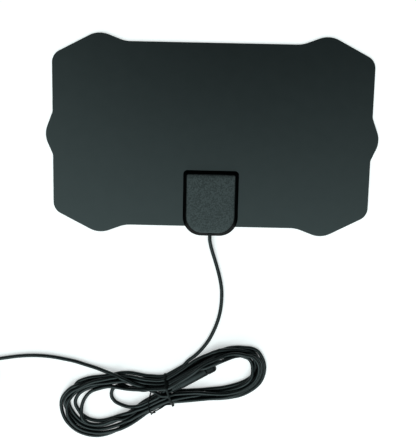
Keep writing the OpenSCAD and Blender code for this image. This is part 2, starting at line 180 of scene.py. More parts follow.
# Where each pass of a lead lies across the band, from -1 (inside) to 1 (outside), at the
# stations of SPREAD_AT. A station is a point of TRACK.
SPREAD_AT = (0, 2.5, 4.5, 6.5, 10.5, 13, 15.5, 19, 20.5, 23.5, 24.5)
COAX_PASSES = [
    (1.0, 1.0, 0.95, -0.1, -0.4, -0.9, -0.9, -0.4, 0.0, 0.9, 0.8),
    (0.6, 0.3, 0.75, 1.05, 0.8, -0.4, 0.8, 1.0, 0.6, 0.05, 0.3),
    (0.2, -0.3, -0.4, -0.8, -0.7, 0.1, 0.1, 0.1, 0.4, 1.0, 1.3),
    (-0.2, 0.6, 0.5, 0.35, 0.3, 0.5, -0.5, -0.65, -1.0, -0.1, -0.1),
    (-0.6, 0.0, 0.1, 0.25, 0.95, 1.0, 0.6, 0.6, 0.1, -0.8, -0.7),
]
# The same for the start of the coaxial lead's sixth pass, which leaves by the small loop
LAST_PASS = (-0.8, -0.7)
POWER_PASS = (-0.9, -1.0, -0.8, -0.5, -0.2, -1.0, -0.2, 0.2, -0.3, -0.4, -0.7)
# Where the free lead joins the hank, where the power lead turns back over the tie, and how far
# left it settles: beyond that it keeps to its route
HANK_ENTRY = (-0.0185, -0.2335, 0.0046)
TURN_BACK = (-0.033, -0.266)
SETTLES_TO_X = -0.225
# Height of the first pass before the leads settle, and how much higher each pass starts
LEVEL_LOW = 0.0030
LEVEL_RISE = 0.0042
# From the upper left round a small open loop to the plug's rear
SMALL_LOOP = [
    (-0.0898, -0.2554), (-0.0969, -0.2573), (-0.1015, -0.2623), (-0.1018, -0.2687), (-0.0987, -0.2743),
    (-0.0937, -0.2786), (-0.0873, -0.2818), (-0.0799, -0.2837), (-0.0721, -0.2834), (-0.0648, -0.2815),
    (-0.0576, -0.2779), (-0.0502, -0.2732),
]
# The power lead from the plug's rear up onto the hank's lower left, as stations and places
# across the band, and from there round inside the hank's left end
CLIMB = [(12, -0.2), (11, 0)]
LEFT_TURN = [
    (-0.0976, -0.2973), (-0.1080, -0.3021), (-0.1168, -0.3033), (-0.1237, -0.3020), (-0.1288, -0.2981),
    (-0.1310, -0.2927), (-0.1314, -0.2863), (-0.1301, -0.2790), (-0.1270, -0.2726), (-0.1218, -0.2666),
    (-0.1131, -0.2619), (-0.1028, -0.2595),
]

# What each round of settling does to every point of the leads
ROUNDS = 420
SINK = 0.00012         # how far a point sinks
LATE = 0.8             # after this share of the rounds, points sink by LATE_SINK of that
LATE_SINK = 0.4
HOME_PULL = 0.02       # share of the way back to the route, seen from above
BEND_PULLS = ((1, 0.3), (4, 0.12))     # share of the way back to the route's bends, over 1 and 4 points
CONTACT_PUSH = 0.7     # share of an overlap that is undone at once
CONTACT_GAP = CORD_D + 0.0001
SEARCH_EVERY = 6       # rounds between two searches for strands that lie near each other
SEARCH_MARGIN = 0.0025  # how far beyond touching such strands may be
NEIGHBOURS = 5         # points of one lead this near along it never press on each other
FLOOR_GAP = 0.00005
LEAST_BEND = 0.0092    # radius of the tightest bend that is left alone afterwards
EASE_ROUNDS = 60
EASE = 0.4             # share of the way to the middle of its neighbours that a point is drawn


def curve_through(points, spacing):
    """Points at an even spacing on a smooth curve through the given ones."""
    p = np.array(points, float)
    p = np.vstack([2 * p[0] - p[1], p, 2 * p[-1] - p[-2]])
    fine = []
    for a, b, c, d in zip(p[:-3], p[1:-2], p[2:-1], p[3:]):
        t0, t1 = 0.0, math.sqrt(np.linalg.norm(b - a))
        t2 = t1 + math.sqrt(np.linalg.norm(c - b))
        t3 = t2 + math.sqrt(np.linalg.norm(d - c))
        for t in np.linspace(t1, t2, 24, endpoint=False):
            ab = a + (b - a) * (t - t0) / (t1 - t0)
            bc = b + (c - b) * (t - t1) / (t2 - t1)
            cd = c + (d - c) * (t - t2) / (t3 - t2)
            abc = ab + (bc - ab) * (t - t0) / (t2 - t0)
            bcd = bc + (cd - bc) * (t - t1) / (t3 - t1)
            fine.append(abc + (bcd - abc) * (t - t1) / (t2 - t1))
    fine.append(p[-2])
    return resampled(np.array(fine), spacing)


def resampled(p, spacing):
    """Points at an even spacing along straight runs between the given ones."""
    along = np.concatenate([[0], np.cumsum(np.linalg.norm(np.diff(p, axis=0), axis=1))])
    count = max(2, int(round(along[-1] / spacing)) + 1)
    at = np.linspace(0, along[-1], count)
    return np.stack([np.interp(at, along, p[:, i]) for i in range(3)], 1)


def track_point(station, across, z):
    """A point of the hank's track: station counts round it, across is -1 to 1 over the band."""
    n = len(TRACK)
    i = int(station)
    part = station - i
    rows = [np.array(TRACK[(i + k) % n]) for k in (-1, 0, 1, 2)]
    behind, here, ahead = (rows[k] * (1 - part) + rows[k + 1] * part for k in (0, 1, 2))
    way = ahead[:2] - behind[:2]
    outward = np.array([way[1], -way[0]]) / np.linalg.norm(way)
    spot = here[:2] + outward * across * here[2]
    return (spot[0], spot[1], z)


def spread(station, values):
    """How far across the band a pass lies at a station, eased from one given value to the next."""
    return np.mean(np.interp(station + np.linspace(-0.9, 0.9, 7), [*SPREAD_AT, len(TRACK)], values))


def coax_points():
    """The coaxial lead: housing, five passes of the hank, small loop, plug."""
    points = list(COAX_ROUTE)
    points.append(HANK_ENTRY)
    points.append(track_point(25, 1.0, LEVEL_LOW + 0.001))
    for k, row in enumerate(COAX_PASSES):
        nxt = COAX_PASSES[k + 1][0] if k + 1 < len(COAX_PASSES) else LAST_PASS[0]
        z = LEVEL_LOW + k * LEVEL_RISE
        values = [*row, nxt]
        for s in range(len(TRACK)):
            rise = LEVEL_RISE * np.clip((s - 20) / 5, 0, 1)
            points.append(track_point(s, spread(s, values), z + rise))
    top = LEVEL_LOW + len(COAX_PASSES) * LEVEL_RISE
    points.append(track_point(0, LAST_PASS[0], top))
    points.append(track_point(1, LAST_PASS[1], top))
    points.append(track_point(2, LAST_PASS[1], top * 0.9))
    for i, (x, y) in enumerate(SMALL_LOOP):
        fall = i / (len(SMALL_LOOP) - 1)
        points.append((x, y, top * 0.8 * (1 - fall) ** 2 + PLUG_AT[2] * fall))
    rear = PLUG_AT + PLUG_SIDE * REAR_SPLIT
    points.append(tuple(rear - PLUG_WAY * REAR_STRAIGHT))
    points.append(tuple(rear))
    return points


def power_points():
    """The power lead: plug, one turn of the hank the other way round, out to the left, stored coil."""
    top = LEVEL_LOW + (len(COAX_PASSES) + 1) * LEVEL_RISE
    rear = PLUG_AT - PLUG_SIDE * REAR_SPLIT
    points = [tuple(rear), tuple(rear - PLUG_WAY * REAR_STRAIGHT)]
    climb = [track_point(station, across, 0)[:2] for station, across in CLIMB] + LEFT_TURN
    for i, (x, y) in enumerate(climb):
        points.append((x, y, PLUG_AT[2] + (top - PLUG_AT[2]) * min(1.0, (i + 1) / 5)))
    values = [*POWER_PASS, POWER_PASS[0]]
    for s in [2, 1, 0, *range(25, 13, -1)]:
        points.append(track_point(s, spread(s, values), top))
    points.append((*TURN_BACK, top))
    lift = top - POWER_ROUTE[0][2]
    for i, (x, y, z) in enumerate(POWER_ROUTE):
        points.append((x, y, z + lift * max(0.0, 1 - i / 6)))
    points.extend(coil_points())
    return points


def coil_points():
    """The stored turns, anticlockwise from the top of the coil, then the tail to the USB grip."""
    points = []
    per_turn = 16
    quarter = 0.25
    total = COIL_TURNS + quarter
    for i in range(int(total * per_turn) + 1):
        turn = i / per_turn
        angle = math.pi / 2 + 2 * math.pi * turn
        across = CORD_R * (1 if int(turn) % 2 == 0 else -1)
        r = COIL_R + np.interp(turn, [0, 1, 2, total], [1, -1, 1, 1]) * CORD_R
        z = CORD_R + 0.0001 + np.interp(turn, [0, 0.9, 1.4, total], [0, 0, 1, 1]) * CORD_D * 0.9
        points.append((COIL_AT[0] + r * math.cos(angle), COIL_AT[1] + r * math.sin(angle), z))
    x, y, z = USB_AT
    points.append((x, y + 0.014, 0.0046))
    points.append((x, y + 0.006, 0.0044))
    points.append((x, y - 0.001, z))
    return points


def settle(cords, held):
    """Lets the cords sink under their own weight until they rest on the floor, on the plug
    and on each other. They nearly keep their length and their bends seen from above. Bends that
    come out too tight are eased at the end."""
    p = np.concatenate(cords)
    home = p.copy()
    fixed = np.concatenate(held)
    own = np.concatenate([[i] * len(c) for i, c in enumerate(cords)])
    joined = own[:-1] == own[1:]
    rest = np.linalg.norm(np.diff(p, axis=0), axis=1)

    def sag(q, k):
        """Each point's offset from the middle of its k-th neighbours, zero near a cord's end."""
        out = np.zeros_like(q)
        ok = own[2 * k:] == own[:-2 * k]
        out[k:-k][ok] = ((q[2 * k:] + q[:-2 * k]) / 2 - q[k:-k])[ok]
        return out

    bend = {}
    for k, _ in BEND_PULLS:
        bend[k] = sag(home, k)
        bend[k][:, 2] = 0
    index = np.arange(len(p))
    free = ~fixed[:, None]
    pairs = None
    for turn in range(ROUNDS):
        move = np.zeros_like(p)
        move[:, 2] -= SINK * (1.0 if turn < ROUNDS * LATE else LATE_SINK)
        move[:, :2] += HOME_PULL * (home - p)[:, :2]
        for k, stiff in BEND_PULLS:
            move += stiff * (sag(p, k) - bend[k])
        p += move * free
        if turn % SEARCH_EVERY == 0:
            near = []
            for start in range(0, len(p), 256):
                block = p[start:start + 256]
                d2 = ((block[:, None, :] - p[None]) ** 2).sum(2)
                i, j = np.nonzero(d2 < (CONTACT_GAP + SEARCH_MARGIN) ** 2)
                i = i + start
                keep = (j > i) & ((own[i] != own[j]) | (np.abs(index[i] - index[j]) > NEIGHBOURS))
                near.append(np.stack([i[keep], j[keep]]))
            pairs = np.concatenate(near, axis=1)
        for _ in range(3):
            step = np.diff(p, axis=0)
            size = np.linalg.norm(step, axis=1)
            fix = np.where(joined, (size - rest) / np.maximum(size, 1e-9) * 0.5, 0)[:, None] * step
            shift = np.zeros_like(p)
            shift[:-1] += fix
            shift[1:] -= fix
            i, j = pairs
            apart = p[j] - p[i]
            size = np.linalg.norm(apart, axis=1)
            overlap = np.maximum(CONTACT_GAP - size, 0) / np.maximum(size, 1e-9)
            push = (overlap * 0.5)[:, None] * apart
            for axis in range(3):
                shift[:, axis] += CONTACT_PUSH * (
                    np.bincount(j, push[:, axis], len(p)) - np.bincount(i, push[:, axis], len(p))
                )
            p += shift * free
            off_plug(p, free)
            p[:, 2] = np.maximum(p[:, 2], CORD_R + FLOOR_GAP + over_tie(p))
    ends = np.cumsum([len(c) for c in cords])[:-1]
    return [eased(line) for line in np.split(p, ends)]


def eased(line):
    """Opens out bends tighter than LEAST_BEND by drawing their points towards their neighbours."""
    p = line.copy()
    for _ in range(EASE_ROUNDS):
        before, here, after = p[:-4], p[2:-2], p[4:]
        area = np.linalg.norm(np.cross(here - before, after - before), axis=1) / 2
        sides = [np.linalg.norm(one - other, axis=1) for one, other in
                 ((here, before), (after, here), (after, before))]
        radius = sides[0] * sides[1] * sides[2] / (4 * area + 1e-15)
        tight = np.zeros(len(p))
        tight[2:-2] = radius < LEAST_BEND
        if not tight.any():
            break
        near = np.convolve(tight, np.ones(5), "same")[:, None] > 0
        near[:4] = near[-4:] = False
        middle = (p[:-2] + p[2:]) / 2
        p[1:-1] += EASE * near[1:-1] * (middle - p[1:-1])
    return p


def over_tie(p):
    """How much the tie's lower run lifts the strands on either side of it."""
    from_tie = (p[:, :2] - TIE_AT) @ TIE_NORMAL
    return (TIE_T + 0.0001) * np.exp(-(from_tie / 0.012) ** 2)


def off_plug(p, free):
    """Pushes points out of the plug and of the way that its cap is pulled along."""
    from_rear = p - PLUG_AT
    along = from_rear @ PLUG_WAY
    across = from_rear - along[:, None] * PLUG_WAY
    size = np.linalg.norm(across, axis=1)
    radius = np.where(along < GRIP_L, GRIP_R, CAP_R) + CORD_R + 0.0002
    reach = CAP_END + CAP_TRAVEL
    inside = (along > 0.0005) & (along < reach) & (size < radius)
    push = np.where(inside, (radius - size) / np.maximum(size, 1e-9), 0)[:, None] * across
    p += push * free


def round_cord(name, points, radius):
    """A cord as a curve of one open spline, with a round section."""
    data = bpy.data.curves.new(name, "CURVE")
    data.dimensions = "3D"
    data.bevel_depth = 1.0
    data.bevel_resolution = 5
    data.use_fill_caps = True
    spline = data.splines.new("POLY")
    spline.points.add(len(points) - 1)
    spline.points.foreach_set("radius", np.full(len(points), radius))
    spline.points.foreach_set("co", np.hstack([points, np.ones((len(points), 1))]).ravel())
    spline.use_smooth = True
    cord = bpy.data.objects.new(name, data)
    bpy.context.scene.collection.objects.link(cord)
    return cord


def held_ends(count, first, last):
    """Marks a cord's first and last points, which stay where they are."""
    held = np.zeros(count, bool)
    held[:first] = True
    held[count - last:] = True
    return held


def make_cords():
    """The settled middle lines of the coaxial lead and the power lead."""
    coax = curve_through(coax_points(), STEP)
    power = curve_through(power_points(), STEP)
    hold_coax = held_ends(len(coax), 4, 3)
    hold_power = held_ends(len(power), 3, 0)
    hold_power[power[:, 0] < SETTLES_TO_X] = True
    return settle([coax, power], [hold_coax, hold_power])


coax_line, power_line = make_cords()
coax = round_cord("coax_cable", curve_through(coax_line, FINE_STEP), CORD_R)
power = round_cord("power_cable", curve_through(power_line, FINE_STEP), CORD_R)

# ---------------------------------------------------------------- mesh helpers


def add_mesh(name, bm, smooth_angle=35):
    """An object from bm, smooth except where faces meet at more than smooth_angle degrees."""
    bmesh.ops.remove_doubles(bm, verts=bm.verts, dist=1e-6)
    bmesh.ops.recalc_face_normals(bm, faces=bm.faces)
    mesh = bpy.data.meshes.new(name)
    bm.to_mesh(mesh)
    bm.free()
    mesh.shade_smooth()
    mesh.set_sharp_from_angle(angle=math.radians(smooth_angle))
    piece = bpy.data.objects.new(name, mesh)
    bpy.context.scene.collection.objects.link(piece)
    return piece


def add_rings(bm, rings, closed=False):
    """Joins rings of points with quads. The first and last are filled unless the rings are closed."""
    made = [[bm.verts.new(p) for p in ring] for ring in rings]
    n = len(made[0])
    pairs = list(zip(made[:-1], made[1:]))
    if closed:
        pairs.append((made[-1], made[0]))
    for a, b in pairs:
        for k in range(n):
            bm.faces.new((a[k], a[(k + 1) % n], b[(k + 1) % n], b[k]))
    if not closed:
        bm.faces.new(made[0][::-1])
        bm.faces.new(made[-1])


def arc(cx, cy, radius, start, end, steps):
    """Points of an arc in a plane, angles in degrees."""
    return [
        (cx + radius * math.cos(math.radians(a)), cy + radius * math.sin(math.radians(a)))
        for a in np.linspace(start, end, steps + 1)
    ]


def rounded_box(x0, x1, y0, y1, r_low, r_top, steps=12):
    """Outline of a rectangle with rounded corners, anticlockwise from the lower left."""
    return (
        arc(x0 + r_low, y0 + r_low, r_low, 180, 270, steps)
        + arc(x1 - r_low, y0 + r_low, r_low, 270, 360, steps)
        + arc(x1 - r_top, y1 - r_top, r_top, 0, 90, steps)
        + arc(x0 + r_top, y1 - r_top, r_top, 90, 180, steps)
    )


def turned_on_plug(name, profile, segments=64):
    """Solid of revolution round the plug's axis, from a closed profile of (along, radius) in mm."""
    bm = bmesh.new()
    rings = []
    for along, radius in profile:
        ring = []
        for a in np.linspace(0, 2 * math.pi, segments, endpoint=False):
            side = PLUG_SIDE * math.cos(a) + np.array([0, 0, 1]) * math.sin(a)
            ring.append(tuple(PLUG_AT + PLUG_WAY * along * MM + side * max(radius, 1e-4) * MM))
        rings.append(ring)
    add_rings(bm, rings)
    return add_mesh(name, bm)


# ---------------------------------------------------------------- housing


def shield(inset):
    """Outline of the housing in millimetres, drawn in by inset."""
    half_w = HOUSING_W / 2 - inset
    low = HOUSING_LOW + inset
    top = HOUSING_LOW + HOUSING_L - inset
    low_corner = LOW_CORNER - inset * 0.6
    top_corner = max(TOP_CORNER - inset * 0.5, 1)
    return rounded_box(-half_w, half_w, low, top, low_corner, top_corner, 16)


def level(outline, z):
    """An outline given in millimetres, as points in metres at one height."""
    return [(x * MM, y * MM, z * MM) for x, y in outline]


def add_tube(bm, x, y, z0, z1, r_out, r_in, segments=32):
    """An upright tube, all its sizes in millimetres."""

    def ring(r, z):
        turns = np.linspace(0, 2 * math.pi, segments, endpoint=False)
        return [((x + r * math.cos(a)) * MM, (y + r * math.sin(a)) * MM, z * MM) for a in turns]

    add_rings(bm, [ring(r_out, z0), ring(r_out, z1), ring(r_in, z1), ring(r_in, z0)], closed=True)


def cut(piece, cutter):
    """Takes cutter away from piece and keeps the result in piece's mesh."""
    change = piece.modifiers.new("cut", "BOOLEAN")
    change.operation = "DIFFERENCE"
    change.solver = "EXACT"
    change.object = cutter
    change.use_self = True
    bpy.context.view_layer.update()
    seen = piece.evaluated_get(bpy.context.evaluated_depsgraph_get())
    mesh = bpy.data.meshes.new_from_object(seen)
    piece.modifiers.clear()
    piece.data = mesh
    mesh.shade_smooth()
    mesh.set_sharp_from_angle(angle=math.radians(30))
    bpy.data.objects.remove(cutter)


def shell_rings():
    """The housing's outside, from its lower edge up the leaning wall and over the top."""
    chamfer = 0.12
    lean_top = WALL_LEAN * (Z_TOP - FILLET - Z_SHEET) / (Z_TOP - 1 - Z_SHEET)
    rings = [
        level(shield(chamfer), Z_SHEET),
        level(shield(0), Z_SHEET + chamfer),
        level(shield(lean_top), Z_TOP - FILLET),
    ]
    for a in range(15, 91, 15):
        turn = math.radians(a)
        inset = lean_top + 0.3 * math.sin(turn) + 1.5 * (1 - math.cos(turn))
        rings.append(level(shield(inset), Z_TOP - FILLET + (FILLET - chamfer) * math.sin(turn)))
    for inset, drop in ((7.5, 0.05), (12, 0.015), (18, 0)):
        rings.append(level(shield(inset), Z_TOP - drop))
    return rings


def make_housing():
    """The front shell: outside, room inside, posts, the block over the lead and the lead's hole."""
    bm = bmesh.new()
    add_rings(bm, shell_rings())
    bottom = [f for f in bm.faces if len(f.verts) > 4 and f.calc_center_median().z < 0.005]
    bmesh.ops.delete(bm, geom=bottom, context="FACES_ONLY")
    inner = [level(shield(WALL), Z_SHEET), level(shield(WALL + WALL_LEAN), Z_CEILING)]
    made = [[bm.verts.new(p) for p in ring] for ring in inner]
    n = len(made[0])
    bm.verts.ensure_lookup_table()
    rim = list(bm.verts)[:n]
    for k in range(n):
        nxt = (k + 1) % n
        bm.faces.new((made[0][k], made[0][nxt], made[1][nxt], made[1][k]))
        bm.faces.new((rim[k], rim[nxt], made[0][nxt], made[0][k]))
    bm.faces.new(made[1])
    for x, y in COVER_SCREWS:
        add_tube(bm, x, y, Z_SHEET, Z_CEILING + POST_ROOT, *COVER_POST)
    for x, y in BOARD_SCREWS:
        add_tube(bm, x, y, BOARD_TOP, Z_CEILING + POST_ROOT, *BOARD_POST)
    block = [(-8.5, -89.5), (8.5, -89.5), (8.5, -84.5), (-8.5, -84.5)]
    add_rings(bm, [level(block, z) for z in (EXIT_Z, Z_CEILING + POST_ROOT)])
    piece = add_mesh("housing_shell", bm, 30)
    cut(piece, lead_hole())
    return piece


def lead_hole():
    """The round hole that the lead comes out of, as a cutter."""
    bm = bmesh.new()
    r = LEAD_HOLE_R * MM
    bmesh.ops.create_cone(bm, cap_ends=True, segments=48, radius1=r, radius2=r, depth=20 * MM)
    bmesh.ops.rotate(bm, verts=bm.verts, matrix=Matrix.Rotation(math.pi / 2, 3, "X"))
    bmesh.ops.translate(bm, verts=bm.verts, vec=(0, (HOUSING_LOW + 7) * MM, EXIT_Z * MM))
    return add_mesh("lead_hole", bm)


# ---------------------------------------------------------------- plug


def make_grip():
    """Ribbed strain relief, a body that widens slightly, and the room inside for the board."""
    r = GRIP_R / MM
    end = GRIP_L / MM
    profile = [(0, 0), (0, 3.9), (0.3, 4.3), (1.0, 4.45)]
    for k in range(4):
        start = 1.6 + 2.3 * k
        top = 4.45 + 0.22 * k
        groove = top - 0.5
        profile += [(start, top), (start + 0.25, groove), (start + 0.85, groove), (start + 1.1, top + 0.12)]
    profile += [(12, r - 0.35), (14, r - 0.3), (26, r - 0.15), (39.4, r)]
    profile += [(39.4 + math.sin(a), r - 1 + math.cos(a)) for a in np.radians([20, 40, 60, 80])]
    profile += [(end, r - 1.5), (end, 3.2), (28, 3.2), (28, 4.4), (26.5, 4.4), (12, 4.4), (12, 0)]
    return turned_on_plug("plug_body", profile)


def make_cap():
    """The soft dust cap, with a domed end and the room inside for the nut."""
    r = CAP_R / MM
    dome_r = 3
    start = GRIP_L / MM + 0.15
    end = CAP_END / MM
    room_end = end - 2
    outside = [(start, r - 0.5), (start, r - 0.12), (start + 0.12, r), (start + 0.9, r), (end - dome_r, r)]
    dome = [(end - dome_r + dome_r * math.sin(a), r - dome_r + dome_r * math.cos(a))
            for a in np.radians(np.arange(15, 91, 15))]
    dimple = [(end, 1.6), (end - 0.12, 1.4), (end - 0.12, 0)]
    inside = [(room_end, 0), (room_end, r - 0.5)]
    return turned_on_plug("dust_cap", outside + dome + dimple + inside)


# ---------------------------------------------------------------- twist tie


def hull(points):
    """Convex hull of points in a plane, anticlockwise."""
    order = sorted(map(tuple, points))

    def turns_left(a, b, c):
        return (b[0] - a[0]) * (c[1] - a[1]) - (b[1] - a[1]) * (c[0] - a[0]) > 0

    def half(run):
        out = []
        for p in run:
            while len(out) > 1 and not turns_left(out[-2], out[-1], p):
                out.pop()
            out.append(p)
        return out[:-1]

    return half(order) + half(order[::-1])


def tie_spot(across, z, along=0.0):
    """A point in the tie's frame: across the bundle, up, and along the strands."""
    flat = TIE_AT + TIE_WAY * across + TIE_NORMAL * along
    return np.array([flat[0], flat[1], z])


def strap_path():
    """The tie's middle line round the strands that pass under it."""
    reach = CORD_R + TIE_T / 2 + 0.00005
    spots = []
    for line in (coax_line, power_line):
        off = (line[:, :2] - TIE_AT) @ TIE_NORMAL
        across = (line[:, :2] - TIE_AT) @ TIE_WAY
        for k in np.nonzero((np.abs(off) < 0.0022) & (np.abs(across) < 0.022))[0]:
            for a in np.linspace(0, 2 * math.pi, 24, endpoint=False):
                spots.append((across[k] + reach * math.cos(a), line[k, 2] + reach * math.sin(a)))
    ring = [(a, max(z, TIE_T / 2 + 0.00002)) for a, z in hull(spots)]
    ring = np.array([tie_spot(a, z) for a, z in ring + ring[:1]])
    return resampled(ring, 0.0007)[:-1]


def add_strap(bm, path, width, thick):
    """A flat strap with rounded edges along a closed path in the tie's plane."""
    normal = np.array([TIE_NORMAL[0], TIE_NORMAL[1], 0])
    edge = thick / 2
    flat = width / 2 - edge
    section = arc(flat, 0, edge, -90, 90, 4) + arc(-flat, 0, edge, 90, 270, 4)
    rings = []
    for k in range(len(path)):
        way = path[(k + 1) % len(path)] - path[k - 1]
        way /= np.linalg.norm(way)
        out = np.cross(normal, way)
        rings.append([tuple(path[k] + normal * u + out * v) for u, v in section])
    add_rings(bm, rings, closed=True)


def add_wire(bm, path, radius, sides=8):
    """A thin round wire along a path, rounded off at both ends."""
    path = curve_through(path, 0.0006)
    rings = []
    for k, p in enumerate(path):
        way = path[min(k + 1, len(path) - 1)] - path[max(k - 1, 0)]
        way /= np.linalg.norm(way)
        side = np.cross(way, (0, 0, 1))
        side /= max(np.linalg.norm(side), 1e-9)
        up = np.cross(side, way)
        r = radius * (0.55 if k in (0, len(path) - 1) else 1)
        turns = np.linspace(0, 2 * math.pi, sides, endpoint=False)
        rings.append([tuple(p + r * (side * math.cos(a) + up * math.sin(a))) for a in turns])
    add_rings(bm, rings)


def laid_on_cords(route, radius):
    """A route given from above, laid over the floor and over the strands that it crosses."""
    flat = curve_through([(x, y, 0) for x, y in route], 0.0005)
    cords = np.concatenate([resampled(coax_line, 0.0005), resampled(power_line, 0.0005)])
    reach = CORD_R + radius + 0.0001
    heights = []
    for spot in flat:
        off = ((cords[:, :2] - spot[:2]) ** 2).sum(1)
        over = cords[off < reach ** 2, 2] + np.sqrt(reach ** 2 - off[off < reach ** 2])
        heights.append(max([radius + 0.00005] + list(over)))
    wide = np.array([max(heights[max(0, k - 3):k + 4]) for k in range(len(heights))])
    soft = [wide[max(0, k - 3):k + 4].mean() for k in range(len(wide))]
    return [(x, y, z) for (x, y, _), z in zip(flat[::2], soft[::2])]


def make_tie():
    """The strap, the two wires twisted into a knot at its lower side, and its loose ends."""
    bm = bmesh.new()
    path = strap_path()
    add_strap(bm, path, TIE_W, TIE_T)
    low = ((path[:, :2] - TIE_AT) @ TIE_WAY).min()
    for phase in (0, math.pi):
        knot = []
        for k in range(26):
            t = k / 25
            turn = t * KNOT_TURNS * 2 * math.pi + phase
            up = 0.0021 + 0.0008 * math.sin(turn)
            along = 0.0004 + 0.0008 * math.cos(turn)
            knot.append(tie_spot(low - 0.0002 - KNOT_L * t, up, along))
        add_wire(bm, knot, WIRE_R)
    for route in TIE_TAILS:
        add_wire(bm, laid_on_cords(route, WIRE_R), WIRE_R)
    return add_mesh("wire_tie", bm)


# ---------------------------------------------------------------- power plug


def make_usb_grip():
    """Moulded grip with a tapered rear and three finger grooves: stations of (along, width, height)."""
    x, y, z = (c / MM for c in USB_AT)
    full, groove = (13, 8.4), (12.4, 8.0)
    stations = [(0, 5.2, 4.8), (-0.4, 6.0, 5.4), (-2.4, 7.6, 6.2), (-4.6, 11.2, 7.6), (-6, 12.6, 8.2)]
    stations.append((-7.4, *full))
    for start in (-8.4, -10.8, -13.2):
        stations += [(start, *full), (start - 0.3, *groove), (start - 1.0, *groove), (start - 1.3, *full)]
    stations += [(-19.2, *full), (-19.8, 12.7, 8.1), (-20, 12.2, 7.6)]
    rings = []
    for along, width, height in stations:
        r = 0.36 * height
        outline = rounded_box(-width / 2, width / 2, -height / 2, height / 2, r, r, 6)
        rings.append([((x + a) * MM, (y + along) * MM, (z + b) * MM) for a, b in outline])
    bm = bmesh.new()
    add_rings(bm, rings)
    return add_mesh("power_plug_grip", bm)


# ---------------------------------------------------------------- materials


BLACK_TINT = (0.8, 1.0, 1.0)


def shader(name, color, rough, metal=0.0, tint=(1, 1, 1), specular=0.5):
    """A material with one surface shader. The functions below add to it."""
    made = bpy.data.materials.new(name)
    made.use_nodes = True
    sockets = made.node_tree.nodes["Principled BSDF"].inputs
    sockets["Base Color"].default_value = (*color, 1)
    sockets["Roughness"].default_value = rough
    sockets["Metallic"].default_value = metal
    sockets["Specular Tint"].default_value = (*tint, 1)
    sockets["Specular IOR Level"].default_value = specular
    return made


def placed(made, stretch, turn=0.0):
    """The piece's own coordinates in metres, stretched and turned about Z."""
    nodes, links = made.node_tree.nodes, made.node_tree.links
    coord = nodes.new("ShaderNodeTexCoord")
    mapping = nodes.new("ShaderNodeMapping")
    mapping.inputs["Scale"].default_value = stretch
    mapping.inputs["Rotation"].default_value = (0, 0, turn)
    links.new(coord.outputs["Object"], mapping.inputs["Vector"])
    return mapping.outputs["Vector"]


def noise(made, grain, detail=3, stretch=(1, 1, 1), turn=0.0):
    """Noise whose features are about grain metres across."""
    tex = made.node_tree.nodes.new("ShaderNodeTexNoise")
    tex.inputs["Scale"].default_value = 1 / grain
    tex.inputs["Detail"].default_value = detail
    made.node_tree.links.new(placed(made, stretch, turn), tex.inputs["Vector"])
    return tex.outputs["Fac"]


def cells(made, size, feature="F1"):
    """Voronoi cells about size metres across: the distance from each cell's middle."""
    tex = made.node_tree.nodes.new("ShaderNodeTexVoronoi")
    tex.feature = feature
    tex.inputs["Scale"].default_value = 1 / size
    made.node_tree.links.new(placed(made, (1, 1, 1)), tex.inputs["Vector"])
    return tex.outputs["Distance"]


def bands(made, width, axis="X", turn=0.0, distortion=0.0):
    """Waves width metres apart."""
    tex = made.node_tree.nodes.new("ShaderNodeTexWave")
    tex.bands_direction = axis
    tex.inputs["Scale"].default_value = 0.314 / width
    tex.inputs["Distortion"].default_value = distortion
    made.node_tree.links.new(placed(made, (1, 1, 1), turn), tex.inputs["Vector"])
    return tex.outputs["Fac"]


def mapped(made, fac, low, high, from_low=0.3, from_high=0.7):
    """Takes a value between from_low and from_high to one between low and high."""
    node = made.node_tree.nodes.new("ShaderNodeMapRange")
    node.inputs["From Min"].default_value = from_low
    node.inputs["From Max"].default_value = from_high
    node.inputs["To Min"].default_value = low
    node.inputs["To Max"].default_value = high
    made.node_tree.links.new(fac, node.inputs["Value"])
    return node.outputs["Result"]


def facing_up(made):
    """The share of the surface's normal that points up, out of the sheet's front."""
    nodes, links = made.node_tree.nodes, made.node_tree.links
    coord = nodes.new("ShaderNodeTexCoord")
    split = nodes.new("ShaderNodeSeparateXYZ")
    links.new(coord.outputs["Normal"], split.inputs["Vector"])
    return split.outputs["Z"]


def times(made, one, other):
    """The product of two values."""
    node = made.node_tree.nodes.new("ShaderNodeMath")
    node.operation = "MULTIPLY"
    made.node_tree.links.new(one, node.inputs[0])
    made.node_tree.links.new(other, node.inputs[1])
    return node.outputs["Value"]


def tones(made, fac, dark, light, low=0.32, high=0.68):
    """Base colour from dark to light as fac goes from low to high."""
    nodes, links = made.node_tree.nodes, made.node_tree.links
    ramp = nodes.new("ShaderNodeValToRGB")
    ramp.color_ramp.elements[0].position = low
    ramp.color_ramp.elements[0].color = (*dark, 1)
    ramp.color_ramp.elements[1].position = high
    ramp.color_ramp.elements[1].color = (*light, 1)
    links.new(fac, ramp.inputs["Fac"])
    links.new(ramp.outputs["Color"], nodes["Principled BSDF"].inputs["Base Color"])


def shine(made, fac, low, high):
    """Roughness that follows fac."""
    roughness = mapped(made, fac, low, high)
    made.node_tree.links.new(roughness, made.node_tree.nodes["Principled BSDF"].inputs["Roughness"])


def relief(made, *layers):
    """Bump from layers of (height, strength, distance in metres), the first lowest."""
    nodes, links = made.node_tree.nodes, made.node_tree.links
    below = None
    for height, strength, distance in layers:
        bump = nodes.new("ShaderNodeBump")
        bump.inputs["Strength"].default_value = strength
        bump.inputs["Distance"].default_value = distance
        links.new(height, bump.inputs["Height"])
        if below is not None:
            links.new(below, bump.inputs["Normal"])
        below = bump.outputs["Normal"]
    links.new(below, nodes["Principled BSDF"].inputs["Normal"])


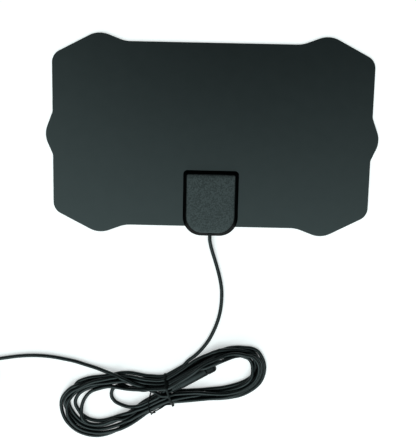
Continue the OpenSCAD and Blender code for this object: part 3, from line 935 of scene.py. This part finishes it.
def film_black():
    """Matt sheet with a very fine cast grain and faint unevenness from laminating."""
    made = shader("film_black", (0.003, 0.0042, 0.0045), 0.33, tint=BLACK_TINT)
    tones(made, noise(made, 0.011, 4), (0.0024, 0.0036, 0.0039), (0.0038, 0.0052, 0.0056))
    grain = noise(made, 0.0006, 2)
    shine(made, grain, 0.30, 0.36)
    relief(made, (noise(made, 0.035, 2), 0.08, 0.0008), (grain, 0.22, 0.00006))
    return made


def film_back():
    """The plain rear sheet, smoother than the front."""
    made = shader("film_back", (0.008, 0.009, 0.0095), 0.38)
    tones(made, noise(made, 0.014, 4), (0.0068, 0.008, 0.0085), (0.0095, 0.0108, 0.0112))
    fine = noise(made, 0.0008, 3)
    shine(made, fine, 0.34, 0.44)
    relief(made, (noise(made, 0.04, 2), 0.12, 0.0008), (fine, 0.10, 0.00005))
    return made


def bond():
    """Adhesive film, with the faint cells that it keeps from being rolled on."""
    made = shader("bond", (0.32, 0.30, 0.2), 0.3)
    tones(made, noise(made, 0.006, 3), (0.27, 0.25, 0.16), (0.37, 0.35, 0.25))
    relief(made, (cells(made, 0.003), 0.15, 0.00005))
    return made


def foil():
    """Rolled aluminium: fine lines along the roll and slight waves."""
    made = shader("foil", (0.78, 0.79, 0.8), 0.3, 1.0)
    lines = noise(made, 0.0012, 4, (0.04, 1, 1))
    tones(made, lines, (0.70, 0.71, 0.72), (0.84, 0.85, 0.86))
    shine(made, lines, 0.22, 0.38)
    relief(made, (noise(made, 0.012, 2), 0.15, 0.0002), (lines, 0.12, 0.00003))
    return made


def shell_black(name, specular):
    """Moulding from a spark-eroded tool: close pits and peaks. The base colour is near black, painted paler
    on the grain's peaks of faces that look up as a painted highlight, so steep walls stay dark as painted
    shade.
    """
    made = shader(name, (0.004, 0.0052, 0.0054), 0.45, tint=BLACK_TINT, specular=specular)
    grain = noise(made, 0.0013, 3)
    fine = noise(made, 0.0004, 2)
    upward = facing_up(made)
    # Painted light: the grain's peaks are painted pale only where the face looks up, a painted highlight;
    # walls keep the near-black colour as painted shade.
    painted_highlight_peaks = mapped(made, grain, 0, 1, 0.40, 0.60)
    painted_light_on_top = mapped(made, upward, 0, 1, 0.6, 0.95)
    tones(made, times(made, painted_highlight_peaks, painted_light_on_top), (0.0006, 0.0008, 0.0008), (0.026, 0.032, 0.0325), 0, 1)
    shine(made, upward, 0.62, 0.45)
    relief(made, (grain, 0.8, 0.00025), (fine, 0.4, 0.00006))
    return made


def metal(name, dark, light, rough_low, rough_high, grain=0.0006, stretch=(1, 1, 1), bump=0.1):
    """Bare or plated metal with fine marks, drawn out along one axis where stretch says so."""
    made = shader(name, light, rough_low, 1.0)
    marks = noise(made, grain, 4, stretch)
    tones(made, noise(made, grain * 6, 3), dark, light)
    shine(made, marks, rough_low, rough_high)
    relief(made, (marks, bump, 0.00003))
    return made


def board_green():
    """Solder mask over copper tracks, which show as raised paler runs."""
    made = shader("board_green", (0.02, 0.12, 0.05), 0.28)
    runs = cells(made, 0.0036, "DISTANCE_TO_EDGE")
    tones(made, runs, (0.03, 0.17, 0.07), (0.012, 0.085, 0.034), 0.06, 0.12)
    shine(made, noise(made, 0.0007, 3), 0.22, 0.36)
    relief(made, (runs, 0.3, 0.00003), (noise(made, 0.0005, 2), 0.08, 0.00002))
    return made


def moulded(name, dark, light, rough_low, rough_high, patch=0.004, grain=0.0006, bump=0.12, tint=(1, 1, 1),
            specular=0.5):
    """Moulded plastic, rubber or ceramic: slight patches of tone over a fine surface grain."""
    made = shader(name, light, rough_low, tint=tint, specular=specular)
    tones(made, noise(made, patch, 4), dark, light)
    fine = noise(made, grain, 3)
    shine(made, fine, rough_low, rough_high)
    relief(made, (noise(made, patch, 2), bump, 0.00008), (fine, bump, 0.00003))
    return made


def cord_black():
    """Satin extruded jacket, slightly uneven along its length."""
    made = shader("cord_black", (0.003, 0.004, 0.0042), 0.28, tint=BLACK_TINT, specular=0.3)
    tones(made, noise(made, 0.007, 3), (0.0022, 0.0030, 0.0031), (0.0042, 0.0055, 0.0057))
    fine = noise(made, 0.0007, 3)
    shine(made, fine, 0.23, 0.33)
    relief(made, (noise(made, 0.004, 2), 0.16, 0.00020), (fine, 0.14, 0.00003))
    return made


def braid():
    """Tinned strands woven round the dielectric."""
    made = shader("braid", (0.55, 0.56, 0.57), 0.35, 1.0)
    one_way = bands(made, 0.0006, "DIAGONAL")
    other_way = bands(made, 0.0006, "DIAGONAL", math.pi / 2)
    tones(made, one_way, (0.32, 0.33, 0.34), (0.66, 0.67, 0.68))
    relief(made, (one_way, 0.6, 0.0001), (other_way, 0.6, 0.0001))
    return made


def tie_black():
    """Plastic-covered wire tie: smooth, with a faint fine grain."""
    made = shader("tie_black", (0.003, 0.0036, 0.0036), 0.4, tint=BLACK_TINT, specular=0.15)
    tones(made, noise(made, 0.002, 3), (0.002, 0.0025, 0.0025), (0.0042, 0.005, 0.005))
    fine = noise(made, 0.0003, 3)
    shine(made, fine, 0.34, 0.48)
    relief(made, (fine, 0.2, 0.00004))
    return made


def make_materials():
    """Every slot's material, by the slot's name, and a copy of the shell's material with almost no
    reflection, which paints the housing's steep walls in shade.
    """
    brass_dark, brass_light = (0.50, 0.33, 0.13), (0.68, 0.48, 0.22)
    copper_dark, copper_light = (0.42, 0.15, 0.05), (0.60, 0.25, 0.10)
    return {
        "film_black": film_black(),
        "film_back": film_back(),
        "bond": bond(),
        "foil": foil(),
        "brass": metal("brass", brass_dark, brass_light, 0.22, 0.34),
        "shell_black": shell_black("shell_black", 0.5),
        # A copy of the shell's material with almost no reflection: painted shade for the housing's steep
        # walls.
        "shell_wall_painted_shade": shell_black("shell_wall_painted_shade", 0.02),
        "screw_steel": metal("screw_steel", (0.42, 0.43, 0.45), (0.56, 0.57, 0.58), 0.28, 0.42, 0.0003),
        "board_green": board_green(),
        "spring_bronze": metal("spring_bronze", (0.48, 0.28, 0.12), (0.66, 0.43, 0.21), 0.2, 0.32),
        "ferrite": moulded(
            "ferrite", (0.022, 0.022, 0.025), (0.04, 0.04, 0.043), 0.55, 0.75, 0.002, 0.0003, 0.3),
        "copper_wire": metal("copper_wire", copper_dark, copper_light, 0.18, 0.3, 0.0003),
        "tinned": metal("tinned", (0.56, 0.57, 0.59), (0.70, 0.71, 0.73), 0.25, 0.4, 0.0006, (0.2, 1, 1)),
        "chip_black": moulded(
            "chip_black", (0.014, 0.015, 0.016), (0.026, 0.027, 0.028), 0.5, 0.65, 0.001, 0.0002),
        "chip_tan": moulded("chip_tan", (0.34, 0.25, 0.13), (0.48, 0.37, 0.22), 0.4, 0.55, 0.0008, 0.0002),
        "solder": metal("solder", (0.50, 0.51, 0.52), (0.66, 0.67, 0.68), 0.16, 0.3, 0.0004),
        "clamp_white": moulded("clamp_white", (0.66, 0.65, 0.60), (0.78, 0.77, 0.73), 0.4, 0.52),
        "cord_black": cord_black(),
        "braid": braid(),
        "dielectric": moulded(
            "dielectric", (0.74, 0.73, 0.69), (0.85, 0.84, 0.8), 0.5, 0.62, 0.0015, 0.0003, 0.2),
        "tie_black": tie_black(),
        "grip_black": moulded(
            "grip_black", (0.0025, 0.0034, 0.0035), (0.0052, 0.0068, 0.007), 0.34, 0.46, 0.006, 0.0006, 0.16,
            BLACK_TINT, 0.3),
        "nickel": metal("nickel", (0.62, 0.615, 0.60), (0.74, 0.735, 0.72), 0.14, 0.26, 0.0005),
        "cap_black": moulded(
            "cap_black", (0.0016, 0.0021, 0.0021), (0.0034, 0.0042, 0.0042), 0.42, 0.55, 0.004, 0.0008, 0.12,
            BLACK_TINT, 0.15),
        "usb_plastic": moulded("usb_plastic", (0.68, 0.68, 0.65), (0.80, 0.80, 0.77), 0.25, 0.36),
        "contact_gold": metal("contact_gold", (0.66, 0.46, 0.16), (0.80, 0.60, 0.26), 0.15, 0.26),
    }


# ---------------------------------------------------------------- putting it together


def dress(piece, slot):
    """Gives a piece its slot's material and no other."""
    piece.data.materials.clear()
    piece.data.materials.append(MATERIALS[slot])


def add_piece(piece, body, slot, *nodes):
    """Rides on body, stands for nodes, and takes the slot's material."""
    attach(piece, body)
    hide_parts(*nodes)
    dress(piece, slot)


def paint_shade_on_walls(piece):
    """Gives the faces that stand steeply the shell's second material, which reflects almost nothing: painted
    shade that keeps the walls near black.
    """
    piece.data.materials.append(MATERIALS["shell_wall_painted_shade"])
    for face in piece.data.polygons:
        face.material_index = 1 if face.normal.z < STEEP else 0


MATERIALS = make_materials()
for part in frame["record"]["subparts"]:
    dress(frame["nodes"][part["node"]], part["material_slot"])

grip = make_grip()
cap = make_cap()
tie = make_tie()
usb_grip = make_usb_grip()
housing = make_housing()
add_piece(housing, "root", "shell_black", "front_shell")
paint_shade_on_walls(housing)
add_piece(grip, "root", "grip_black", "plug_grip")
add_piece(cap, "cap", "cap_black", "plug_cap")
add_piece(tie, "root", "tie_black", "twist_tie")
add_piece(usb_grip, "root", "grip_black", "usb_grip")
add_piece(coax, "root", "cord_black", "coax_lead", "cord_hank")
add_piece(power, "root", "cord_black", "power_lead", "power_coil", "power_tail")

# ---------------------------------------------------------------- floor and light

DARK_WAY = Vector((0.05, 0.46, 0.88)).normalized()
OVERHEAD_WAY = Vector((-0.10, -0.25, 0.96)).normalized()
FRONT_WAY = Vector((-0.12, -0.78, 0.62)).normalized()
LIGHT_COLOR = (0.90, 1.0, 1.0)
FLOOR_HALF = 20.0
FLOOR_COLOR = (0.8, 0.8, 0.8)
FLOOR_GLOW = (0.96, 1.0, 1.0)
GLOW_STRENGTH = 0.45


def make_floor():
    """A wide sheet of white paper, which glows a little so that it stays pale all over."""
    corners = [(x * FLOOR_HALF, y * FLOOR_HALF, 0) for x, y in ((-1, -1), (1, -1), (1, 1), (-1, 1))]
    mesh = bpy.data.meshes.new("floor")
    mesh.from_pydata(corners, [], [(0, 1, 2, 3)])
    floor = bpy.data.objects.new("floor", mesh)
    bpy.context.scene.collection.objects.link(floor)
    paper = shader("floor_paper", FLOOR_COLOR, 0.7, specular=0.2)
    sockets = paper.node_tree.nodes["Principled BSDF"].inputs
    sockets["Emission Color"].default_value = (*FLOOR_GLOW, 1)
    sockets["Emission Strength"].default_value = GLOW_STRENGTH
    mesh.materials.append(paper)


def make_world():
    """Soft studio light from above, with a dark patch towards the back and a lamp low in front."""
    world = bpy.data.worlds.new("studio")
    bpy.context.scene.world = world
    world.use_nodes = True
    nodes, links = world.node_tree.nodes, world.node_tree.links
    coord = nodes.new("ShaderNodeTexCoord")

    def ramp(way, low, high, dim, bright):
        """Strength from dim to bright, as the cosine of the angle to way goes from low to high."""
        toward = nodes.new("ShaderNodeVectorMath")
        toward.operation = "DOT_PRODUCT"
        toward.inputs[1].default_value = way
        links.new(coord.outputs["Generated"], toward.inputs[0])
        part = nodes.new("ShaderNodeMapRange")
        part.inputs["From Min"].default_value = low
        part.inputs["From Max"].default_value = high
        part.inputs["To Min"].default_value = dim
        part.inputs["To Max"].default_value = bright
        links.new(toward.outputs["Value"], part.inputs["Value"])
        return part.outputs["Result"]

    def joined(operation, one, other):
        node = nodes.new("ShaderNodeMath")
        node.operation = operation
        links.new(one, node.inputs[0])
        links.new(other, node.inputs[1])
        return node.outputs["Value"]

    round_dark_patch = ramp(DARK_WAY, 0.965, 0.78, 0.0, 1.9)
    overhead = ramp(OVERHEAD_WAY, 0.70, 0.88, 0.12, 1.0)
    front = ramp(FRONT_WAY, 0.90, 0.97, 0.0, 2.5)
    total = joined("ADD", joined("MULTIPLY", round_dark_patch, overhead), front)
    background = nodes["Background"]
    background.inputs["Color"].default_value = (*LIGHT_COLOR, 1)
    links.new(total, background.inputs["Strength"])


make_floor()
make_world()
bpy.context.scene.view_settings.view_transform = "Standard"

bpy.context.view_layer.update()
